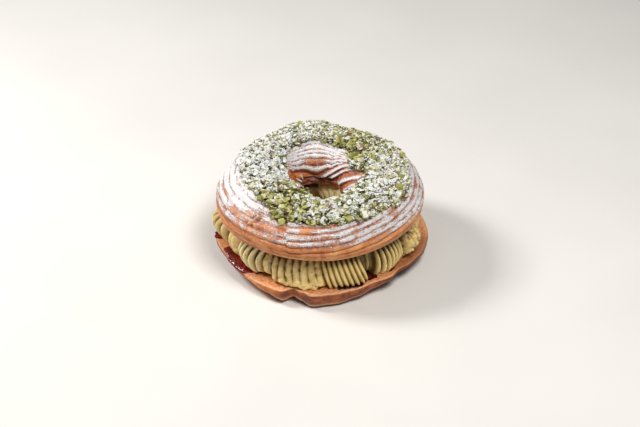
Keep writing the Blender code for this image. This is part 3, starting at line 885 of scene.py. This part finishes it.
# how far down the hole's wall they lie, in the degrees of wall_place
BOLD_RIDGE_AT, HOLLOW_AT, BROWN_PATCH_AT = 39.5, 54, 27
way_up = (-UNDER + (180 + 2 * UNDER) * np.linspace(0, 1, LID_ROWS))[None, :]
azimuth, angle = np.broadcast_arrays(columns_round(LID_COLUMNS), way_up)


def away_from(azimuth, angle, place, radius=BELLY_RADIUS):
    """Distances in mm along the ring and up the section from a place on the belly, or nearer the hole."""
    aside = np.radians(gap_between(azimuth, place[0])) * radius
    return aside, np.radians(angle - place[1]) * ARCH_RADIUS


def line_from(azimuth, angle, start, end, radius=BELLY_RADIUS):
    """Distance in mm from a straight line between two such places."""
    aside, above = away_from(azimuth, angle, start, radius)
    run, climb = away_from(*end, start, radius)
    share = np.clip((aside * run + above * climb) / (run * run + climb * climb), 0, 1)
    return np.hypot(aside - share * run, above - share * climb)


spot = ring_points(azimuth, *lid_surface(azimuth, angle))
fine_lumps = rough(spot, 2.6, 2)
pimples = rough(spot, 1, 9)
wander = 0.16 * rough(spot, 11, 4) + 0.09 * rough(spot, 4.5, 6)
vigour = 1 + 0.45 * rough(spot, 9, 8)
nuts = nut_cover(azimuth, angle + 3 * fine_lumps)
on_wall = step(angle, 112, 8)
outer_crest = outer_ridges(azimuth, angle, wander)
wall_crest = wall_ridges(azimuth, angle, wander)
crest = outer_crest + (wall_crest - outer_crest) * on_wall
wall_down = wall_place(azimuth, angle)
fade = step(angle, around(azimuth, RIDGES_FROM), 9)
left_belly = between(azimuth, 198, 248, 8) * (1 - on_wall)
depth = RIDGE_DEPTH * vigour * fade * (1 - on_wall) * (1 - 0.3 * left_belly)
depth += on_wall * (WALL_RIDGE_DEPTH + BOLD_RIDGE_ADDS * bell(wall_down - BOLD_RIDGE_AT, 8))
low_wall = on_wall * between(azimuth, 60, 140, 30)
hollow = (step(angle, 201, 6) - HOLLOW_DEPTH * bell(wall_down - HOLLOW_AT, 9)) * low_wall
tail, fold, fold_white = tail_fold(azimuth, angle)
relief = depth * (crest - RIDGE_MIDDLE) + hollow
relief = relief * (1 - tail) + FOLD_DEPTH * fold * tail
low_crest = line_from(azimuth, angle, (163, 132), (134, 157), WALL_RADIUS)
relief += 0.8 * bell(low_crest, 0.9) - 0.4 * bell(low_crest - 1.8, 0.8)
gap_middle = 186 + 4 * bell(gap_between(azimuth, 92), 14)
wall_gap = bell(angle - gap_middle, 4.6) * between(azimuth, 66, 124, 9)
relief -= 1.6 * wall_gap
below_gap = step(angle, gap_middle + 5, 6) * between(azimuth, 58, 140, 16)
print("ridges from", round(float(relief.min()), 2), "to", round(float(relief.max()), 2), "mm")

# %% Seam, flake and blister
FLAKE = (227.5, 29), (231.5, 46)
BLISTER, BLISTER_RADIUS = (230.5, 26), 1.7
# a crease's azimuth, and the angles where it starts and ends
CREASES = (276, -6, 56), (307, 10, 32), (321, 18, 36), (293, 30, 44), (340, 12, 26), (263, 24, 40)
PLEATS_AT, PLEAT_WIDTH, PLEAT_DEPTH = 246, 1.7, 0.3
beside_seam = gap_between(azimuth, SEAM + 0.8 - SEAM_SLANT * (angle - 15.5))
on_seam = step(angle, 6, 8) * (1 - step(angle, 56, 6))
seam_shoulder = step(beside_seam, 0, 1.2) * np.exp(-np.clip(beside_seam, 0, 99) / 9)
relief += on_seam * (0.6 * seam_shoulder - 0.5 * bell(beside_seam, 0.8))
flake = line_from(azimuth, angle, *FLAKE)
flake_edge, beside_flake = bell(flake, 0.55), bell(flake - 1.3, 0.6)
blister = np.hypot(*away_from(azimuth, angle, BLISTER))
blister_edge = bell(blister - BLISTER_RADIUS, 0.45)
relief += 1.15 * flake_edge - 0.6 * beside_flake + 0.7 * blister_edge
for place, start, end in CREASES:
    aside = np.radians(gap_between(azimuth, place + 0.5 * fine_lumps)) * BELLY_RADIUS
    relief += span(angle, start, end, 5) * (0.25 * bell(aside - 1.2, 0.6) - 0.5 * bell(aside, 0.45))
pleats = between(azimuth, PLEATS_AT - 2.5, PLEATS_AT + 2.5, 1) * span(angle, 9, 21, 4)
relief += PLEAT_DEPTH * pleats * np.cos(math.tau * gap_between(azimuth, PLEATS_AT) / PLEAT_WIDTH)
relief = relief * (1 - nuts) + (0.4 + 0.55 * fine_lumps) * nuts
relief += 0.22 * fine_lumps * (1 - 0.5 * on_wall) + 0.12 * pimples
print(len(CREASES), "creases, and relief up to", round(float(relief.max()), 2), "mm")

# %% [markdown]
# The icing sugar was sieved from above and from the left, so it lies on the crests, thick on the left
# shoulder, thin at the front, and hardly at all on the low belly and in the hollow of the hole. The field is
# painted here from the same crests that gave the relief, so dust and form always agree.

# %% Where the sugar lies
SHOULDER = (
    (0, 0.74), (40, 0.66), (110, 0.66), (150, 0.8), (180, 0.84), (208, 0.66), (232, 0.5), (246, 0.44),
    (256, 0.62), (280, 0.66), (325, 0.72),
)
SUGAR_FROM = (
    (0, 8), (150, 14), (185, 18), (205, 17), (225, 17), (246, 14), (256, 14), (280, 14), (300, 12),
    (330, 9),
)
# bare spots: azimuth, angle, half their length and half their height in degrees
BARE_SPOTS = (
    (273.5, 35, 4, 2.6), (303, 15, 7, 4), (355, 17, 3, 9), (286, 21, 4, 2), (318, 31, 4, 2),
    (352, 38, 3, 3), (248, 40, 2.5, 5), (262, 44, 3, 2.5), (238, 30, 5, 3), (216, 33, 6, 4),
    (224, 44, 4, 3), (196, 40, 5, 3),
)
WALL_DUST, TAIL_DUST = 0.78, 0.8
crest_share = np.where(on_wall > 0.5, wall_crest, outer_crest)
crest_share = crest_share * (1 - tail) + fold_white * tail
dusted = around(azimuth, SHOULDER) * step(angle, around(azimuth, SUGAR_FROM), 16)
patchy = np.clip(1.7 * rough(spot, 6.5, 3), 0, 1) * between(azimuth, 205, 352, 14)
dusted *= 1 - (0.42 + 0.2 * left_belly) * patchy
wall_dust = WALL_DUST * (1 - step(wall_down, 43.5, 3))
brown_patch = bell(wall_down - BROWN_PATCH_AT, 8) * bell(gap_between(azimuth, 97), 19)
dusted = dusted * (1 - on_wall) + (wall_dust - 0.75 * brown_patch) * on_wall
dusted = dusted * (1 - tail) + TAIL_DUST * tail
bare_furrow = 0.3 * (1 - tail) + 0.34 * left_belly
lies = dusted * (bare_furrow + (1 - bare_furrow) * crest_share**1.4)
thick = between(azimuth, 158, 226, 24) * step(angle, 40, 22) * (1 - on_wall)
sugar = np.clip(lies + (0.29 + 0.52 * crest_share - lies) * thick, 0, 1)
sugar = np.maximum(sugar, 0.75 * bell(low_crest, 0.8))
for place, height, long, tall in BARE_SPOTS:
    sugar *= 1 - 0.85 * bell(gap_between(azimuth, place), long) * bell(angle - height, tall)
sugar *= (1 - 0.7 * bell(flake, 1.7)) * (1 - 0.7 * bell(blister, 2.4)) * (1 - nuts)
print("sugar covers on average", round(float(sugar.mean()), 2))

# %% Cut face and the lid's piece
LID_EDGES = [0, -1]
lid_radius, lid_height = lid_surface(azimuth, angle, relief)
lid_height = np.maximum(lid_height, LID_BOTTOM + 0.3)
lid_radius[:, LID_EDGES] = lid_surface(azimuth, angle)[0][:, LID_EDGES]
lid_height[:, LID_EDGES] = LID_BOTTOM
share = np.linspace(0, 1, LID_CUT_ROWS + 2)[None, 1:-1]
cut_radius = bridge(lid_radius, lid_radius, LID_CUT_ROWS)
crumb_holes = np.abs(rough(ring_points(azimuth[:, :1], cut_radius, 0), 2.2, 4))
cut_height = LID_BOTTOM + 0.5 * crumb_holes * np.minimum(1, 12 * share * (1 - share))
# Painted shade low on the left of the hole's wall.
painted_shade_low_left = between(azimuth, 112, 170, 12) * step(angle, 148, 8) * (1 - below_gap)
pale_belly = between(azimuth, 250, 335, 12) * (1 - step(angle, 12, 10))
# Painted shade in the furrows between ridges, in the gap under the hole's wall, beside the flake and low on
# the left; darker below that gap, browner on the bare patch of the wall, and paler on the low front belly.
lid_furrow = (1 - crest_share) * (1 - nuts) + 2.4 * wall_gap + 1.4 * below_gap
lid_furrow += 0.7 * brown_patch * on_wall + 0.9 * beside_flake + 0.7 * painted_shade_low_left - 0.4 * pale_belly
# Painted highlights on the rims of the flake and the blister, and a paler line along the lid's cut edge.
raised_edge_highlight = np.maximum(0.8 * flake_edge, 0.6 * blister_edge) * (1 - nuts)
pale_cut_edge_and_highlight = np.maximum(0.85 * bell(angle + UNDER, 2.6), raised_edge_highlight)
lid_fields = dict(sugar=sugar, furrow=lid_furrow, nuts=nuts, pale=pale_cut_edge_and_highlight)
crust_lid = laid_ring(
    "crust_lid",
    ring_points(
        azimuth[:, :1], np.hstack([lid_radius, cut_radius]), np.hstack([lid_height, cut_height])
    ),
    sugared_crust,
    **{field: np.pad(values, ((0, 0), (0, LID_CUT_ROWS))) for field, values in lid_fields.items()},
    cut=np.arange(LID_ROWS + LID_CUT_ROWS) >= LID_ROWS,
)

# %% [markdown]
# ## Chopped pistachios
#
# A knife breaks the kernels into angular chips of 1 to 4 mm. One chip is a cube cut flat by a few
# bisecting planes in edit mode, which is what the knife did. A cut can fill a face that is there already, so
# the mesh is validated, which drops the second one. Six such chips are enough, because each copy gets its
# own turn, size and proportions. Over two thousand copies of about ten faces each are joined to one mesh,
# since the finished part keeps meshes and drops instances, and as many smaller crumbs to another. Each
# copy carries its own tone.

# %% Model the chips
NUT_SEED, CRUMB_SEED = 11, 40
CHIP_SIZE, NEAREST_CUT, FARTHEST_CUT = 0.86 * MM, 0.22 * MM, 0.42 * MM


def broken_chip(name, cuts, seed):
    """A chip 1 mm across, cut flat by several planes."""
    draw = random.Random(seed)
    bpy.ops.mesh.primitive_cube_add(size=CHIP_SIZE)
    chip = bpy.context.object
    chip.name = name
    bpy.ops.object.mode_set(mode="EDIT")
    for _ in range(cuts):
        facing = Vector([draw.gauss(0, 1) for _ in range(3)]).normalized()
        bpy.ops.mesh.select_all(action="SELECT")
        middle = facing * draw.uniform(NEAREST_CUT, FARTHEST_CUT)
        bpy.ops.mesh.bisect(plane_co=middle, plane_no=facing, use_fill=True, clear_outer=True)
    bpy.ops.object.mode_set(mode="OBJECT")
    chip.data.validate()
    bpy.ops.object.mode_set(mode="EDIT")
    bpy.ops.mesh.select_all(action="SELECT")
    bpy.ops.mesh.normals_make_consistent(inside=False)
    bpy.ops.object.mode_set(mode="OBJECT")
    return chip


chips = [broken_chip(f"chip_{number}", 5, NUT_SEED + number) for number in range(6)]
grains = [broken_chip(f"grain_{number}", 3, CRUMB_SEED + number) for number in range(3)]
print("faces of the chips:", [len(chip.data.polygons) for chip in chips])


def strew(name, masters, spots, look):
    """One mesh of many copies of the masters. A spot is a matrix, a tone and a share of dust."""
    bpy.ops.object.select_all(action="DESELECT")
    copies = []
    for number, (matrix, tone, dust) in enumerate(spots):
        mesh = masters[number % len(masters)].data.copy()
        mesh.transform(matrix)
        for field, value in (("tone", tone), ("sugar", dust)):
            layer = mesh.attributes.new(field, "FLOAT", "POINT")
            layer.data.foreach_set("value", [value] * len(mesh.vertices))
        copy = bpy.data.objects.new(name, mesh)
        bpy.context.collection.objects.link(copy)
        copies.append(copy)
        copy.select_set(True)
    bpy.context.view_layer.objects.active = copies[0]
    bpy.ops.object.join()
    mesh = bpy.context.object.data
    points = np.zeros(len(mesh.vertices) * 3)
    mesh.vertices.foreach_get("co", points)
    mesh.vertices.foreach_set("co", (hold_in_box(points.reshape(-1, 3) / MM) * MM).ravel())
    mesh.update()
    return finished(bpy.context.object, name, look)


# %% [markdown]
# Where do the chips go? Everywhere in the band, piled two deep, each lying roughly along the surface. The
# spots are drawn at random with a fixed seed, more where the ring is wider, and lifted so that no chip
# stands higher than the solid's crown.

# %% Place the chips
HEADROOM = 0.05
THICKNESS = 0.55, 0.85


def spot_matrix(azimuth, angle, relief, size, draw, tumble=0.7):
    """Where a copy lies: on the arch, turned at random, with its own proportions."""
    radius, height = lid_surface(azimuth, angle, relief)
    turn, slope = math.radians(azimuth), math.radians(angle)
    outward = Vector((math.cos(slope) * math.cos(turn), math.cos(slope) * math.sin(turn), math.sin(slope)))
    lie = outward.to_track_quat("Z", "Y").to_matrix().to_4x4()
    spin = Matrix.Rotation(draw.uniform(0, math.tau), 4, "Z") @ Matrix.Rotation(draw.gauss(0, tumble), 4, "X")
    shape = Matrix.Diagonal((size, size * draw.uniform(0.6, 0.95), size * draw.uniform(*THICKNESS), 1))
    drop = max(0, height + 0.42 * size - (cad_high[2] - HEADROOM))
    place = Vector((radius * math.cos(turn), radius * math.sin(turn), height - drop)) * MM
    return Matrix.Translation(place) @ lie @ spin @ shape


WIDEST = 54
DUST_ON_NUTS = (
    (0, 0.62), (60, 0.45), (95, 0.6), (140, 0.75), (175, 0.85), (205, 0.75), (225, 0.42), (243, 0.35),
    (262, 0.55), (300, 0.62), (330, 0.66),
)


def nut_spots(count, sizes, heights, seed, spill=0):
    """Random spots in the band of nuts, greener at the back right. Spill lets some lie past its edges."""
    draw = random.Random(seed)
    spots = []
    while len(spots) < count:
        azimuth = draw.uniform(0, FULL_TURN)
        near, far = float(around(azimuth, NUTS_FROM)), float(around(azimuth, NUTS_TO))
        share = draw.uniform(-spill, 1 + spill)
        angle = near + (far - near) * share + draw.gauss(0, 1.5)
        radius = float(lid_surface(azimuth, angle)[0])
        if draw.uniform(0, WIDEST) > radius:
            continue
        size = draw.uniform(*sizes)
        green_patch = max(0, 1 - abs(gap_between(azimuth, 45)) / 38) * (angle > 84) * (angle < 128)
        dust = float(around(azimuth, DUST_ON_NUTS)) - 0.13 * green_patch + draw.gauss(0, 0.16)
        matrix = spot_matrix(azimuth, angle, draw.uniform(*heights), size, draw)
        spots.append((matrix, draw.random(), dust))
    return spots


kernel = Finish("chopped_pistachio")
flesh = kernel.ramp(
    kernel.attribute("tone"),
    (0, paint(74, 72, 22)), (0.3, paint(124, 124, 50)), (0.6, paint(168, 166, 86)),
    (0.84, paint(198, 192, 124)), (0.94, paint(142, 108, 84)), (1, paint(82, 48, 52)),
)
flesh = kernel.mix(kernel.band(kernel.noise(0.9), 0.5, 0.72, 0, 0.55), flesh, paint(92, 88, 32))
lie = kernel.total((kernel.attribute("sugar"), 1), (kernel.up(), 0.55), (kernel.noise(0.6), 1.1))
dust_cover = kernel.band(lie, 1.44, 1.64, 0, 0.92)
kernel.set(
    Base_Color=kernel.mix(dust_cover, flesh, NUT_DUST),
    Roughness=kernel.band(dust_cover, 0, 1, 0.48, 0.9),
)
kernel.let_light_in(0.08, (1.2, 1.4, 0.4), 0.4)
kernel.bump((dust_cover, 0.1), (kernel.noise(0.4), 0.08))
print("the finish of the nuts has", len(kernel.tree.nodes), "nodes")

# %% Strew the nuts
lower_layer = nut_spots(1350, (2, 4.2), (0.5, 1.1), NUT_SEED)
upper_layer = nut_spots(950, (1.7, 3.9), (1.2, 2.2), NUT_SEED + 1)
# bold chips: azimuth, angle, size, tone, dust
BOLD_CHIPS = (
    (335.5, 64, 5.6, 0.5, 0.1), (36, 119.5, 4.8, 0.35, 0.2), (287.5, 62, 4.4, 0.45, 0.2),
    (298, 59, 4.6, 0.65, 0.6), (241, 56, 4.2, 0.25, 0.1), (233, 68, 4.4, 0.4, 0.2), (308, 66, 4, 0.6, 0.3),
    (278, 92, 3.6, 0.97, 0.3), (70, 99, 4.2, 0.4, 0.2), (52, 108, 4.4, 0.3, 0.2),
)
bold = random.Random(NUT_SEED + 3)
bold_layer = [
    (spot_matrix(azimuth, angle, 1.9, size, bold, tumble=0.3), tone, dust)
    for azimuth, angle, size, tone, dust in BOLD_CHIPS
]
# slivers of nut: azimuth, angle, length
SLIVERS = (134, 176, 5), (126, 172, 4.2), (112, 84, 4), (258, 68, 4.6), (232, 74, 4.4), (20, 98, 4)
SLIVER_TONE, SLIVER_DUST = 0.8, 1.1
THIN = Matrix.Diagonal((1, 0.28, 0.24, 1))
slivers = [
    (spot_matrix(azimuth, angle, 2, length, bold, tumble=1.2) @ THIN, SLIVER_TONE, SLIVER_DUST)
    for azimuth, angle, length in SLIVERS
]
chopped_nuts = strew("chopped_nuts", chips, lower_layer + upper_layer + bold_layer + slivers, kernel)
nut_crumbs = strew("nut_crumbs", grains, nut_spots(2400, (0.6, 1.5), (1, 2.4), NUT_SEED + 2, 0.05), kernel)
for master in chips + grains:
    bpy.data.objects.remove(master, do_unlink=True)

# %% [markdown]
# ## Everything rides on the pastry
#
# The pastry has one body. Each piece is tied to it, says which solid it stands for, and which finish it
# wears.

# %% Ride and replace
ROLES = (
    (crust_base, "baked_crust", "choux_base"),
    (jam_layer, "red_jam", "jam"),
    (piped_cream, "pistachio_cream", "cream"),
    (crust_lid, "sugared_crust", "choux_lid"),
    (chopped_nuts, "chopped_pistachio", None),
    (nut_crumbs, "chopped_pistachio", None),
)
for piece, finish, node in ROLES:
    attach(piece, "root")
    if node:
        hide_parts(node)
print(len(ROLES), "pieces ride on the pastry")

# %% Finish
bpy.context.view_layer.update()
